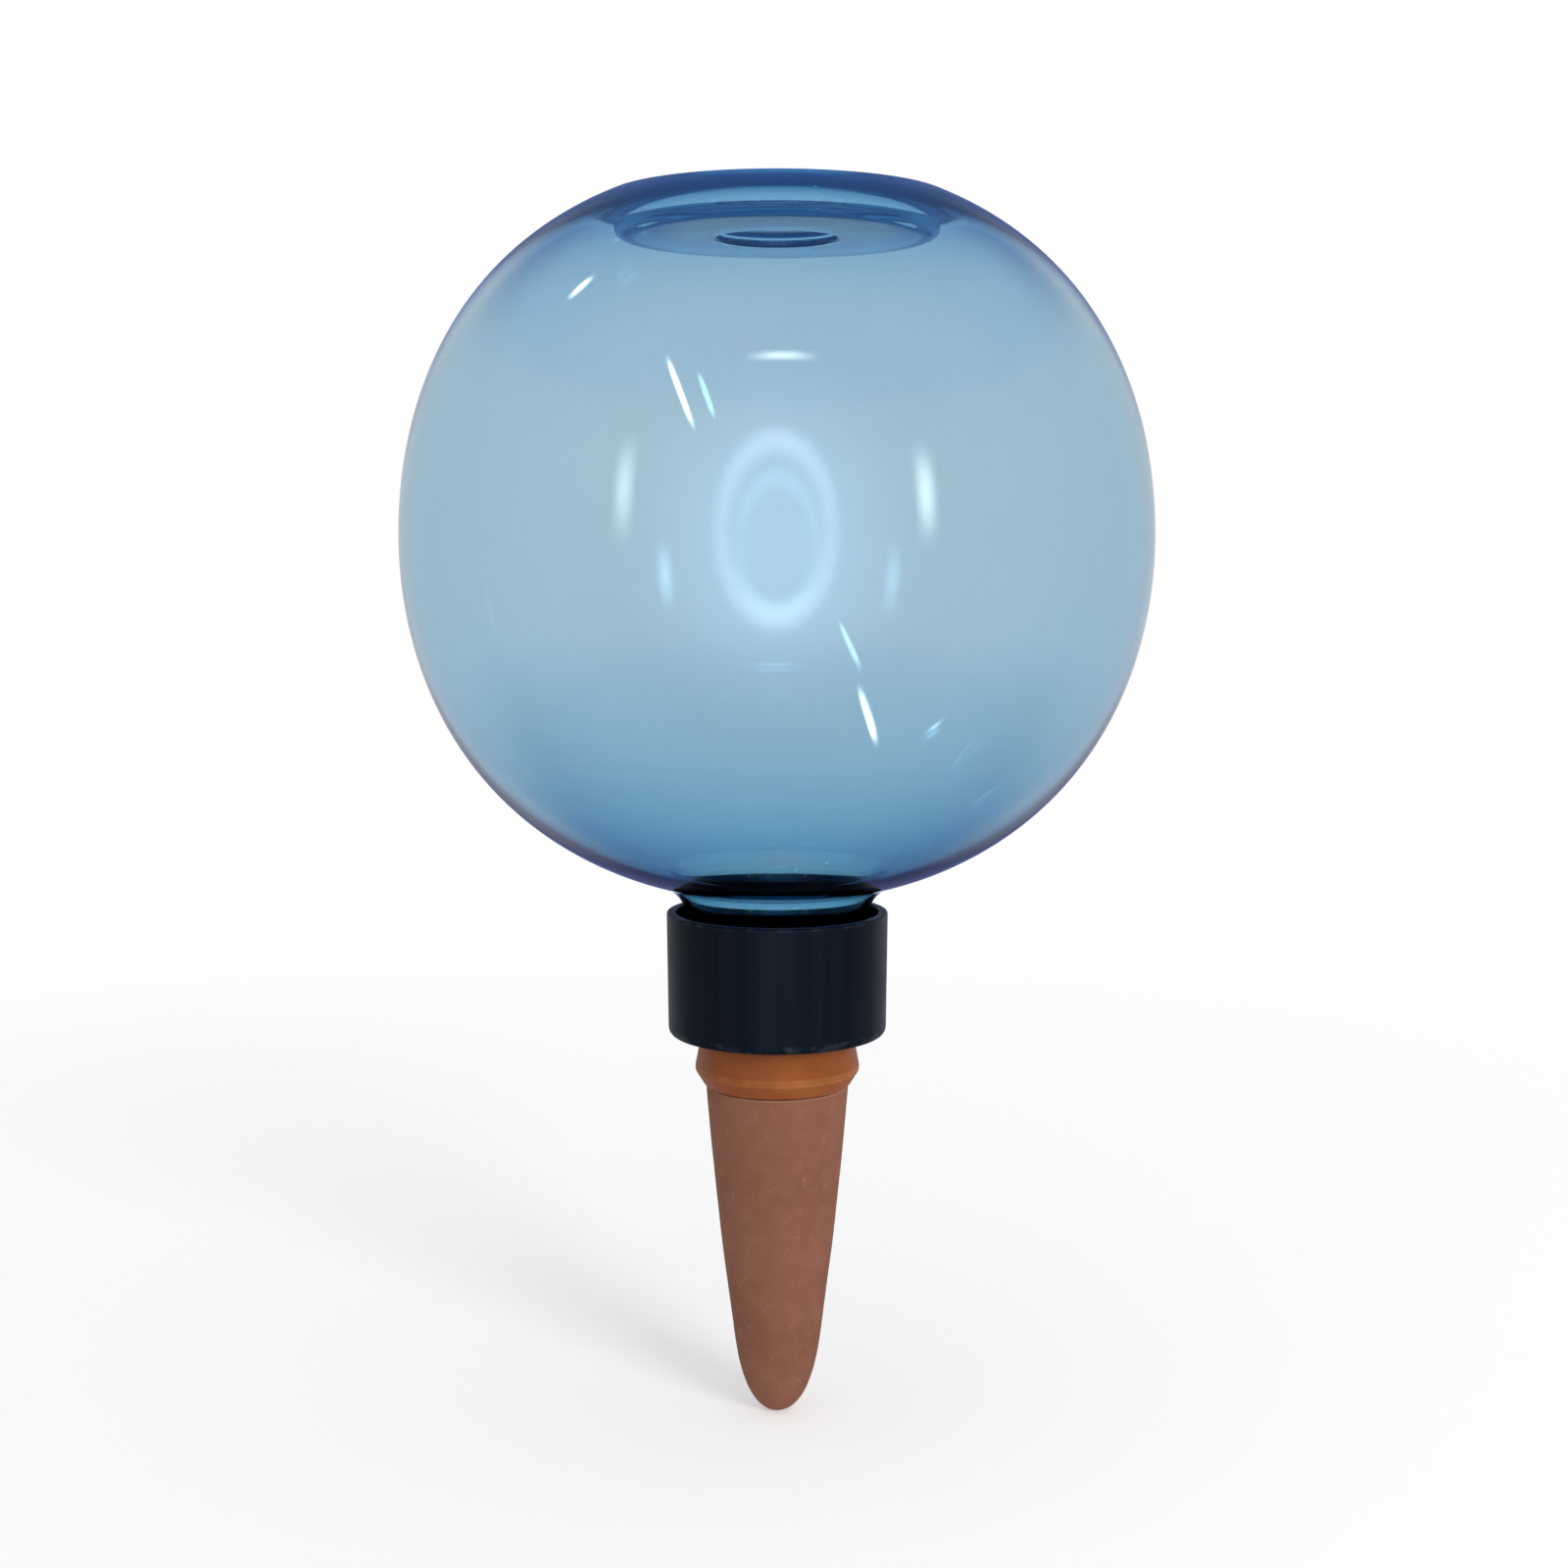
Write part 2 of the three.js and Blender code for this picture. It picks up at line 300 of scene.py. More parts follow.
def globe_shell():
    """Bottle: bowl, crown, a recessed base with a raised disc, and a neck with its thread."""
    radius = globe_high.x
    rim = globe_low.z
    stand = globe_high.z
    equator = stand - STAND_RISE
    crown = STAND_RISE + CROWN_OVERRUN
    bore = NECK_RADIUS - NECK_WALL
    finish_top = rim + FINISH_LENGTH

    # Outside
    def bowl_at(turn):
        r, drop = swelled(radius, BOWL_DROP, BOWL_SWELL, turn)
        return r, equator - drop

    def crown_at(turn):
        r, rise = swelled(radius, crown, CROWN_SWELL, turn)
        return r, equator + rise

    bowl_end = turn_where(lambda turn: bowl_at(turn)[0] < NECK_RADIUS + NECK_FILLET)
    crown_end = turn_where(lambda turn: crown_at(turn)[1] > stand - RIM_ROUND)
    bowl = [bowl_at(bowl_end * i / CURVE_STEPS) for i in range(CURVE_STEPS, 0, -1)]
    side = [crown_at(crown_end * i / CURVE_STEPS) for i in range(CURVE_STEPS + 1)]
    neck_corner = (NECK_RADIUS, bowl[0][1] - NECK_SLOPE * NECK_FILLET)
    neck_top = (NECK_RADIUS, neck_corner[1] - NECK_REACH)
    outside = bend(neck_top, neck_corner, bowl[0], NECK_STEPS)[:-1] + bowl + side
    foot = side[-1]
    lean = (side[-2][0] - foot[0]) / (foot[1] - side[-2][1])
    rim_corner = (foot[0] - lean * RIM_ROUND, stand)
    ring_outer = rim_corner[0] - math.dist(rim_corner, foot)
    ring_inner = ring_outer - STAND_WIDTH

    # Base
    recess = stand - RECESS_DEPTH
    disc = recess + DISC_RISE
    recess_edge = ring_inner - BASE_DRAFT
    disc_edge = DISC_RADIUS - BASE_DRAFT
    hollow_edge = recess_edge + BASE_WALL
    hollow_floor = recess - BASE_WALL
    hollow_corner = bend(
        (hollow_edge - RECESS_CORNER, hollow_floor),
        (hollow_edge, hollow_floor),
        (hollow_edge, hollow_floor + CORNER_RISE),
    )

    # Inside, as far from the outside as the wall is thick
    def wall_at(z):
        if z > equator:
            return WALL_EQUATOR + WALL_HEEL * ((z - equator) / STAND_RISE) ** HEEL_GROWTH
        depth = (equator - z) / (equator - neck_top[1])
        return WALL_EQUATOR + (NECK_WALL - WALL_EQUATOR) * depth ** SHOULDER_GROWTH

    inside = []
    for i, (r, z) in enumerate(outside):
        before = outside[max(i - 1, 0)]
        after = outside[min(i + 1, len(outside) - 1)]
        along = Vector((after[0] - before[0], after[1] - before[1])).normalized()
        inside.append((r - along.y * wall_at(z), z + along.x * wall_at(z)))
    heel = bend(hollow_corner[-1], (hollow_edge, stand - HEEL_DEPTH), inside[-HEEL_STEPS])

    corners = [
        (0.0, disc - BASE_WALL, 0),
        (disc_edge, disc - BASE_WALL, POCKET_ROUND),
        (DISC_RADIUS, hollow_floor, POCKET_ROUND),
        *plain(hollow_corner),
        *plain(heel[1:]),
        *plain(reversed(inside[1:-HEEL_STEPS])),
        (bore, rim, NECK_RIM_ROUND),
        (NECK_RADIUS, rim, NECK_RIM_ROUND),
        *plain(line((NECK_RADIUS, rim + ROWS_MARGIN), (NECK_RADIUS, finish_top), THREAD_ROW)),
        *plain(outside[:-1]),
        *plain(bend(foot, rim_corner, (ring_outer, stand))),
        (ring_inner, stand, STAND_ROUND),
        (recess_edge, recess, RECESS_CORNER - BASE_WALL),
        (DISC_RADIUS + BASE_WALL, recess, DISC_ROUND),
        (disc_edge + BASE_WALL, disc, DISC_ROUND),
        (0.0, disc, 0),
    ]

    def threaded(angle, r, z):
        if abs(r - NECK_RADIUS) > ON_WALL or not rim + RIDGE_MARGIN < z < finish_top:
            return r
        return r + THREAD_DEPTH * thread_ridge(angle, z, NECK_THREAD_START, NECK_THREAD_TURNS)

    return turned("globe_shell", rounded(corners), shape=threaded)


def cap_shell():
    """Screw cap with a hole in its floor and a thread on its wall."""
    base = cap_low.z
    rim = cap_high.z
    radius = cap_high.x
    bore = radius - CAP_WALL
    floor = base + CAP_FLOOR
    corners = [
        (HOLE_RADIUS, base, HOLE_ROUND),
        (radius - CAP_DRAFT, base, CAP_BASE_ROUND),
        (radius, rim, CAP_RIM_ROUND),
        (bore, rim, CAP_RIM_ROUND),
        *plain(line((bore, rim - ROWS_MARGIN), (bore, floor + ROWS_MARGIN), THREAD_ROW)),
        (bore, floor, CAP_CORNER_ROUND),
        (HOLE_RADIUS, floor, HOLE_ROUND),
    ]

    def threaded(angle, r, z):
        if abs(r - bore) > ON_WALL or not floor + RIDGE_MARGIN < z < rim - RIDGE_MARGIN:
            return r
        return r - CAP_THREAD_DEPTH * thread_ridge(angle, z, CAP_THREAD_START, CAP_THREAD_TURNS)

    return turned("cap_shell", rounded(corners, closed=True), closed=True, shape=threaded)


def rubber_collar():
    """Grommet: bead below the cap, waist in its hole, flange above its floor."""
    top = collar_high.z
    flange = top - FLANGE_THICKNESS
    corners = [
        (COLLAR_BORE, collar_low.z, BORE_ROUND),
        (LIP_RADIUS, collar_low.z, LIP_ROUND),
        (BEAD_RADIUS, BEAD_HEIGHT - BEAD_LAND, BEAD_ROUND),
        (BEAD_RADIUS, BEAD_HEIGHT + BEAD_LAND, BEAD_ROUND),
        (BEAD_RADIUS - COLLAR_DRAW_IN, COLLAR_HEIGHT, DRAW_IN_ROUND),
        (WAIST_RADIUS, COLLAR_HEIGHT, WAIST_ROUND),
        (WAIST_RADIUS, flange, WAIST_ROUND),
        (collar_high.x, flange, FLANGE_ROUND),
        (collar_high.x, top, FLANGE_ROUND),
        (COLLAR_BORE, top, BORE_ROUND),
    ]
    return turned("rubber_collar", rounded(corners, closed=True), closed=True)


def clay_cone():
    """Hollow fired cone, a little uneven, with a spigot for the collar."""
    shoulder = -SEAT_GAP
    tip = cone_low.z
    radius = cone_high.x
    top = cone_high.z
    side_end = (TIP_RADIUS, tip + TIP_LENGTH)
    side_top = (radius, shoulder - SHOULDER_DROP)
    swell = ((radius + TIP_RADIUS) / 2 + 2 * CONE_BELLY, (side_top[1] + side_end[1]) / 2)
    taper = (swell[0] - side_end[0]) / (swell[1] - side_end[1])
    tip_corner = (TIP_RADIUS - taper * TIP_LENGTH, tip)
    bore = SPIGOT_RADIUS - CONE_WALL
    hollow_end = (TIP_RADIUS - CONE_WALL, side_end[1])
    hollow_floor = tip + CONE_WALL
    hollow_corner = (hollow_end[0], hollow_floor)
    hollow_turn = (bore, (side_top[1] + side_end[1]) * HOLLOW_BEND)
    corners = [
        *plain(bend((0, tip), tip_corner, side_end, TIP_STEPS)),
        *plain(bend(side_end, swell, side_top, SIDE_STEPS)[1:]),
        (radius - SHOULDER_SLOPE, shoulder, SHOULDER_ROUND),
        (SPIGOT_RADIUS, shoulder, SPIGOT_FOOT_ROUND),
        (SPIGOT_RADIUS, top, SPIGOT_ROUND),
        (bore, top, SPIGOT_ROUND),
        *plain(bend((bore, shoulder), hollow_turn, hollow_end, HOLLOW_STEPS)),
        *plain(bend(hollow_end, hollow_corner, (0, hollow_floor), HOLLOW_TIP_STEPS)[1:]),
    ]

    def uneven(angle, r, z):
        if r <= EVEN_RADIUS:
            return r
        place = Vector((math.cos(angle) * r, math.sin(angle) * r, z))
        return r - sum(depth * (noise.noise(place * waves) + 1) for waves, depth in UNEVENNESS)

    return turned("clay_cone_body", rounded(corners), shape=uneven)


# Materials. Noise scales are per metre. A bump is a distance in millimetres and a strength. A range is
# the values from and to, and with four numbers also the input from and to.
NOISE_START = 0.3
NOISE_END = 0.7

BOTTLE_IOR = 1.57
BOTTLE_TINTS = ((0.80, 0.878, 0.915), (0.84, 0.898, 0.925))
BOTTLE_DEPTH = (0.0, 0.58, 0.79)
BOTTLE_DENSITY = 743.0
BOTTLE_STREAKS = 22.0
BOTTLE_HAZE = 160.0
BOTTLE_ROUGHNESS = (0.004, 0.02)
BOTTLE_WAVES = 45.0
BOTTLE_BUMP = (0.06, 0.5)

# Cap: its near-black colour, and a paler colour that paints a soft vertical sheen in upright streaks
CAP_COLOUR_AND_SHEEN = ((0.0018, 0.0043, 0.010), (0.0052, 0.0088, 0.0165))
CAP_WORN = (0.022, 0.030, 0.036)
CAP_SHEEN_STREAKS = 380.0
CAP_SHEEN_ALONG = 0.02
CAP_WEAR = 500.0
CAP_WEAR_RANGE = (0.0, 1.0, 0.45, 0.7)
CAP_CLOUD = 120.0
CAP_ROUGHNESS = (0.30, 0.42)
CAP_GLOSS = 0.06
CAP_GRAIN = 2600.0
CAP_BUMP = (0.02, 0.35)

RUBBER_COLOURS = ((0.235, 0.060, 0.012), (0.295, 0.082, 0.018))
RUBBER_BLOOM = (0.42, 0.16, 0.05)
RUBBER_BLOOM_RANGE = (0.0, 0.5)
RUBBER_MOTTLE = 260.0
RUBBER_ROUGHNESS = (0.38, 0.55)
RUBBER_GLOSS = 0.2
RUBBER_SOFTNESS = 0.15
RUBBER_SOFT_RADIUS = (0.9, 0.35, 0.15)
RUBBER_SOFT_SCALE = 0.0012
RUBBER_GRAIN = 1900.0
RUBBER_BUMP = (0.03, 0.4)

CLAY_COLOURS = ((0.208, 0.082, 0.049), (0.252, 0.103, 0.064))
CLAY_PATCH = (0.31, 0.14, 0.092)
CLAY_PATCH_RANGE = (0.0, 0.3, 0.45, 0.75)
CLAY_SPECK = (0.47, 0.27, 0.19)
CLAY_SPECK_RANGE = (0.3, 0.0, 0.08, 0.22)
CLAY_SPECK_ZONES = (0.0, 1.0, 0.4, 0.7)
CLAY_WORN = (0.36, 0.18, 0.12)
CLAY_BROAD = 70.0
CLAY_MOTTLE = 420.0
CLAY_GRAINS = 900.0
CLAY_GRIT = 2400.0
CLAY_ROUGHNESS = (0.85, 0.98)
CLAY_GLOSS = 0.25
CLAY_BUMP = (0.12, 0.6)

PAPER_COLOURS = ((0.93, 0.93, 0.93), (0.95, 0.95, 0.95))
PAPER_GRAIN = 900.0
PAPER_ROUGHNESS = 0.9
PAPER_GLOSS = 0.1

# Colour sockets of a Mix node, told by their places because the names repeat for each type of data
MIX_FIRST = 6
MIX_SECOND = 7
MIX_RESULT = 2


def principled(name):
    """Material with a Principled shader: the material, its nodes, a link function and the shader."""
    material = bpy.data.materials.new(name)
    material.use_nodes = True
    tree = material.node_tree
    return material, tree.nodes, tree.links.new, tree.nodes["Principled BSDF"]


def object_noise(nodes, link, scale, detail=3.0, roughness=0.55, along=1.0):
    """Noise over the object's own coordinates, with the share of its scale that holds along Z."""
    place = nodes.new("ShaderNodeTexCoord")
    drawn = nodes.new("ShaderNodeMapping")
    drawn.inputs["Scale"].default_value = (1.0, 1.0, along)
    texture = nodes.new("ShaderNodeTexNoise")
    texture.inputs["Scale"].default_value = scale
    texture.inputs["Detail"].default_value = detail
    texture.inputs["Roughness"].default_value = roughness
    link(place.outputs["Object"], drawn.inputs["Vector"])
    link(drawn.outputs["Vector"], texture.inputs["Vector"])
    return texture.outputs["Fac"]


def ranged(nodes, link, value, low, high, start=NOISE_START, end=NOISE_END):
    """Value from one range to another, held at its ends."""
    node = nodes.new("ShaderNodeMapRange")
    node.inputs["From Min"].default_value = start
    node.inputs["From Max"].default_value = end
    node.inputs["To Min"].default_value = low
    node.inputs["To Max"].default_value = high
    link(value, node.inputs["Value"])
    return node.outputs["Result"]


def mixed(nodes, link, factor, first, second):
    """Mix of two colours, each a colour or the output of a node."""
    node = nodes.new("ShaderNodeMix")
    node.data_type = "RGBA"
    link(factor, node.inputs["Factor"])
    for place, colour in ((MIX_FIRST, first), (MIX_SECOND, second)):
        socket = node.inputs[place]
        if isinstance(colour, tuple):
            socket.default_value = (*colour, 1.0)
        else:
            link(colour, socket)
    return node.outputs[MIX_RESULT]


def product(nodes, link, first, second):
    """Two values multiplied."""
    node = nodes.new("ShaderNodeMath")
    node.operation = "MULTIPLY"
    link(first, node.inputs[0])
    link(second, node.inputs[1])
    return node.outputs["Value"]


def bumped(nodes, link, shader, height, distance, strength):
    """Bump on a shader from a height of 0 to 1, over a distance in millimetres."""
    node = nodes.new("ShaderNodeBump")
    node.inputs["Distance"].default_value = distance * MM
    node.inputs["Strength"].default_value = strength
    link(height, node.inputs["Height"])
    link(node.outputs["Normal"], shader.inputs["Normal"])


def edge_mask(nodes):
    """Mask of the worn edges, which the meshes hold."""
    node = nodes.new("ShaderNodeAttribute")
    node.attribute_name = "edge"
    return node.outputs["Fac"]


def bottle_plastic():
    """Clear blue bottle plastic: tinted on its faces, deeper blue where it is thick."""
    material, nodes, link, shader = principled("clear_blue_plastic")
    streaks = ranged(nodes, link, object_noise(nodes, link, BOTTLE_STREAKS), 0.0, 1.0)
    haze = object_noise(nodes, link, BOTTLE_HAZE)
    waves = object_noise(nodes, link, BOTTLE_WAVES, detail=1.0)
    link(mixed(nodes, link, streaks, *BOTTLE_TINTS), shader.inputs["Base Color"])
    link(ranged(nodes, link, haze, *BOTTLE_ROUGHNESS), shader.inputs["Roughness"])
    shader.inputs["Transmission Weight"].default_value = 1.0
    shader.inputs["IOR"].default_value = BOTTLE_IOR
    bumped(nodes, link, shader, waves, *BOTTLE_BUMP)
    depth = nodes.new("ShaderNodeVolumeAbsorption")
    depth.inputs["Color"].default_value = (*BOTTLE_DEPTH, 1.0)
    depth.inputs["Density"].default_value = BOTTLE_DENSITY
    link(depth.outputs["Volume"], nodes["Material Output"].inputs["Volume"])
    return material


def cap_plastic():
    """Near-black satin plastic with upright streaks of painted sheen, paler along its worn edges."""
    material, nodes, link, shader = principled("satin_black_plastic")
    cloud = object_noise(nodes, link, CAP_CLOUD)
    grain = object_noise(nodes, link, CAP_GRAIN, detail=2.0)
    # Upright streaks of painted sheen, stretched along Z, in place of soft vertical reflections
    painted_sheen = object_noise(nodes, link, CAP_SHEEN_STREAKS, detail=2.0, roughness=0.5, along=CAP_SHEEN_ALONG)
    worn = ranged(nodes, link, object_noise(nodes, link, CAP_WEAR), *CAP_WEAR_RANGE)
    wear = product(nodes, link, edge_mask(nodes), worn)
    # Near-black body with its streaks of painted sheen
    body = mixed(nodes, link, ranged(nodes, link, painted_sheen, 0.0, 1.0), *CAP_COLOUR_AND_SHEEN)
    link(mixed(nodes, link, wear, body, CAP_WORN), shader.inputs["Base Color"])
    link(ranged(nodes, link, cloud, *CAP_ROUGHNESS), shader.inputs["Roughness"])
    shader.inputs["Specular IOR Level"].default_value = CAP_GLOSS
    bumped(nodes, link, shader, grain, *CAP_BUMP)
    return material


def amber_rubber():
    """Amber rubber, mottled, with a soft bloom."""
    material, nodes, link, shader = principled("amber_rubber")
    mottle = object_noise(nodes, link, RUBBER_MOTTLE)
    grain = object_noise(nodes, link, RUBBER_GRAIN, detail=2.0)
    body = mixed(nodes, link, ranged(nodes, link, mottle, 0.0, 1.0), *RUBBER_COLOURS)
    bloomed = ranged(nodes, link, mottle, *RUBBER_BLOOM_RANGE)
    bloom = product(nodes, link, edge_mask(nodes), bloomed)
    link(mixed(nodes, link, bloom, body, RUBBER_BLOOM), shader.inputs["Base Color"])
    link(ranged(nodes, link, mottle, *RUBBER_ROUGHNESS), shader.inputs["Roughness"])
    shader.inputs["Specular IOR Level"].default_value = RUBBER_GLOSS
    shader.inputs["Subsurface Weight"].default_value = RUBBER_SOFTNESS
    shader.inputs["Subsurface Radius"].default_value = RUBBER_SOFT_RADIUS
    shader.inputs["Subsurface Scale"].default_value = RUBBER_SOFT_SCALE
    bumped(nodes, link, shader, grain, *RUBBER_BUMP)
    return material


def terracotta():
    """Unglazed fired clay: mottled, with pale grains and a gritty face."""
    material, nodes, link, shader = principled("unglazed_clay")
    broad = object_noise(nodes, link, CLAY_BROAD)
    mottle = object_noise(nodes, link, CLAY_MOTTLE, detail=4.0)
    grit = object_noise(nodes, link, CLAY_GRIT, roughness=0.7)
    place = nodes.new("ShaderNodeTexCoord")
    grains = nodes.new("ShaderNodeTexVoronoi")
    grains.inputs["Scale"].default_value = CLAY_GRAINS
    link(place.outputs["Object"], grains.inputs["Vector"])
    body = mixed(nodes, link, ranged(nodes, link, broad, 0.0, 1.0), *CLAY_COLOURS)
    patches = ranged(nodes, link, mottle, *CLAY_PATCH_RANGE)
    body = mixed(nodes, link, patches, body, CLAY_PATCH)
    speck = ranged(nodes, link, grains.outputs["Distance"], *CLAY_SPECK_RANGE)
    zones = ranged(nodes, link, mottle, *CLAY_SPECK_ZONES)
    body = mixed(nodes, link, product(nodes, link, speck, zones), body, CLAY_SPECK)
    link(mixed(nodes, link, edge_mask(nodes), body, CLAY_WORN), shader.inputs["Base Color"])
    link(ranged(nodes, link, grit, *CLAY_ROUGHNESS), shader.inputs["Roughness"])
    shader.inputs["Specular IOR Level"].default_value = CLAY_GLOSS
    bumped(nodes, link, shader, grit, *CLAY_BUMP)
    return material


# Pieces
DRESSING = (
    (globe_shell, "globe", "globe", "blue_bottle", bottle_plastic),
    (cap_shell, "cap", "screw_cap", "black_plastic", cap_plastic),
    (rubber_collar, "spike", "seal_collar", "amber_rubber", amber_rubber),
    (clay_cone, "spike", "clay_cone", "terracotta", terracotta),
)
for build, body, node, slot, material in DRESSING:
    piece = build()
    piece.data.materials.append(material())
    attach(piece, body)
    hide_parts(node)


# Camera, where the photograph was taken from, in millimetres and degrees down
EYE_RIGHT = 0.94
EYE_DISTANCE = 300.0
EYE_HEIGHT = 74.7
EYE_PITCH = 6.22
SENSOR_WIDTH = 36.0
LENS = 50.175

# Floor, key light and world, in metres
FLOOR_RADIUS = 3.0
FLOOR_DROP = 0.00002
FLOOR_GLOW = 0.32
FADE_START = 0.05
FADE_END = 0.4
KEY_PLACE = (0.55, -0.8, 0.35)
KEY_SIZE = 0.4
KEY_POWER = 5.2
WORLD_STRENGTH = 1.0
DIFFUSE_DIM = 0.52
WHITE = (1.0, 1.0, 1.0)
BACKDROP = (0.97, 0.90, 0.89)
BOUNCE_START = 0.4
BOUNCE_END = 0.6
MAX_BOUNCES = 32
GLOSSY_BOUNCES = 16

# Panels, in millimetres, with directions as degrees right of the camera's side and degrees up
PANEL_DISTANCE = 420.0
STRIPS = (
    # name, middle right and up, width and length, tilt, strength
    ("tube_light", -30.0, 34.0, 14.0, 175.0, 33.0, 40.0),
    ("low_tube", 33.0, -45.0, 16.0, 160.0, 33.0, 40.0),
    ("top_light", 2.0, 45.0, 30.0, 150.0, 90.0, 7.0),
    ("left_softbox", -42.0, 11.0, 60.0, 200.0, 0.0, 4.0),
    ("right_softbox", 41.0, 10.0, 60.0, 180.0, 0.0, 6.0),
    ("slash_light", -98.0, 51.0, 22.0, 60.0, 20.0, 16.0),
)
SOFT_STEPS = 6
RING_RADIUS = 76.0
RING_TALL = 1.45
RING_WIDTH = 44.0
RING_HEIGHT = 86.0
RING_STRENGTH = 2.4
RING_SIDES = 0.5
RING_COLOUR = (0.9, 0.97, 1.0)
GLOW_START = 1.0
GLOW_RADIUS = 320.0
GLOW_TALL = 1.2
GLOW_DISTANCE = 320.0
GLOW_STEPS = 12
GLOW_STRENGTH = 1.1
GLOW_COLOUR = (0.6, 0.85, 1.1)

# What is mirrored, before and behind the globe: height from straight down to straight up, and colour
ROOM = (
    (0.0, (0.10, 0.10, 0.22)),
    (0.20, (0.12, 0.15, 0.28)),
    (0.36, (0.50, 0.50, 0.56)),
    (0.74, (0.52, 0.54, 0.60)),
    (0.81, (0.15, 0.36, 0.80)),
    (1.0, (0.12, 0.30, 0.70)),
)
REAR_SIDES = (
    (0.0, (0.06, 0.08, 0.22)),
    (0.12, (0.12, 0.15, 0.34)),
    (0.26, (0.62, 0.65, 0.70)),
    (0.68, (0.68, 0.70, 0.72)),
    (0.80, (0.10, 0.16, 0.42)),
    (1.0, (0.12, 0.30, 0.70)),
)
REAR_MIDDLE = (
    (0.0, (0.06, 0.08, 0.22)),
    (0.38, (0.12, 0.15, 0.34)),
    (0.47, (0.62, 0.65, 0.70)),
    (0.53, (0.62, 0.65, 0.70)),
    (0.60, (0.12, 0.19, 0.44)),
    (1.0, (0.12, 0.30, 0.70)),
)
REAR_AXIS = (
    (0.0, (0.06, 0.08, 0.22)),
    (0.30, (0.12, 0.15, 0.34)),
    (0.40, (0.95, 0.97, 1.00)),
    (0.45, (0.95, 0.97, 1.00)),
    (0.53, (0.62, 0.65, 0.70)),
    (0.60, (0.12, 0.19, 0.44)),
    (1.0, (0.12, 0.30, 0.70)),
)
REAR_ZONES = (
    # bands, and how far to the side they hold and end
    (REAR_MIDDLE, 0.2, 0.45),
    (REAR_AXIS, 0.05, 0.09),
)
REAR_START = 0.2
REAR_END = 0.7


def bounced(nodes, link, kind, before=0.0, after=1.0):
    """One value before light has met a surface of a kind, and another after that."""
    path = nodes.new("ShaderNodeLightPath")
    return ranged(nodes, link, path.outputs[kind], before, after, BOUNCE_START, BOUNCE_END)


def mirrored(nodes, link):
    """1 for light that has been mirrored on its way, and 0 for light that has not."""
    return bounced(nodes, link, "Glossy Depth")


def backdrop(nodes, link):
    """White, and a little greyer for light that comes through the bottle."""
    return mixed(nodes, link, bounced(nodes, link, "Transmission Depth"), WHITE, BACKDROP)


def pale_floor():
    """Wide pale disc under the tip of the cone, which fades into the backdrop and isn't mirrored."""
    height = cad_box[0].z - FLOOR_DROP
    turns = [math.tau * k / CIRCLE_STEPS for k in range(CIRCLE_STEPS)]
    ring = [(FLOOR_RADIUS * math.cos(turn), FLOOR_RADIUS * math.sin(turn), height) for turn in turns]
    mesh = bpy.data.meshes.new("pale_floor")
    mesh.from_pydata(ring, [], [tuple(range(CIRCLE_STEPS))])
    floor = bpy.data.objects.new("pale_floor", mesh)
    bpy.context.scene.collection.objects.link(floor)
    material, nodes, link, shader = principled("pale_paper")
    paper = object_noise(nodes, link, PAPER_GRAIN)
    link(mixed(nodes, link, paper, *PAPER_COLOURS), shader.inputs["Base Color"])
    shader.inputs["Roughness"].default_value = PAPER_ROUGHNESS
    shader.inputs["Specular IOR Level"].default_value = PAPER_GLOSS
    shader.inputs["Emission Color"].default_value = (*WHITE, 1.0)
    shader.inputs["Emission Strength"].default_value = FLOOR_GLOW
    place = nodes.new("ShaderNodeTexCoord")
    away = nodes.new("ShaderNodeVectorMath")
    away.operation = "LENGTH"
    link(place.outputs["Object"], away.inputs[0])
    far = ranged(nodes, link, away.outputs["Value"], 0.0, 1.0, FADE_START, FADE_END)
    haze = nodes.new("ShaderNodeEmission")
    link(backdrop(nodes, link), haze.inputs["Color"])
    sweep = nodes.new("ShaderNodeMixShader")
    link(far, sweep.inputs["Fac"])
    link(shader.outputs["BSDF"], sweep.inputs[1])
    link(haze.outputs["Emission"], sweep.inputs[2])
    clear = nodes.new("ShaderNodeBsdfTransparent")
    choice = nodes.new("ShaderNodeMixShader")
    link(mirrored(nodes, link), choice.inputs["Fac"])
    link(sweep.outputs["Shader"], choice.inputs[1])
    link(clear.outputs["BSDF"], choice.inputs[2])
    link(choice.outputs["Shader"], nodes["Material Output"].inputs["Surface"])
    mesh.materials.append(material)


def banded(nodes, link, rise, bands):
    """Colour that goes softly from band to band with the height."""
    node = nodes.new("ShaderNodeValToRGB")
    ramp = node.color_ramp
    ramp.interpolation = "EASE"
    ends = (bands[0], bands[-1])
    for stop, (position, colour) in zip(ramp.elements, ends):
        stop.position = position
        stop.color = (*colour, 1.0)
    for position, colour in bands[1:-1]:
        ramp.elements.new(position).color = (*colour, 1.0)
    link(rise, node.inputs["Fac"])
    return node.outputs["Color"]


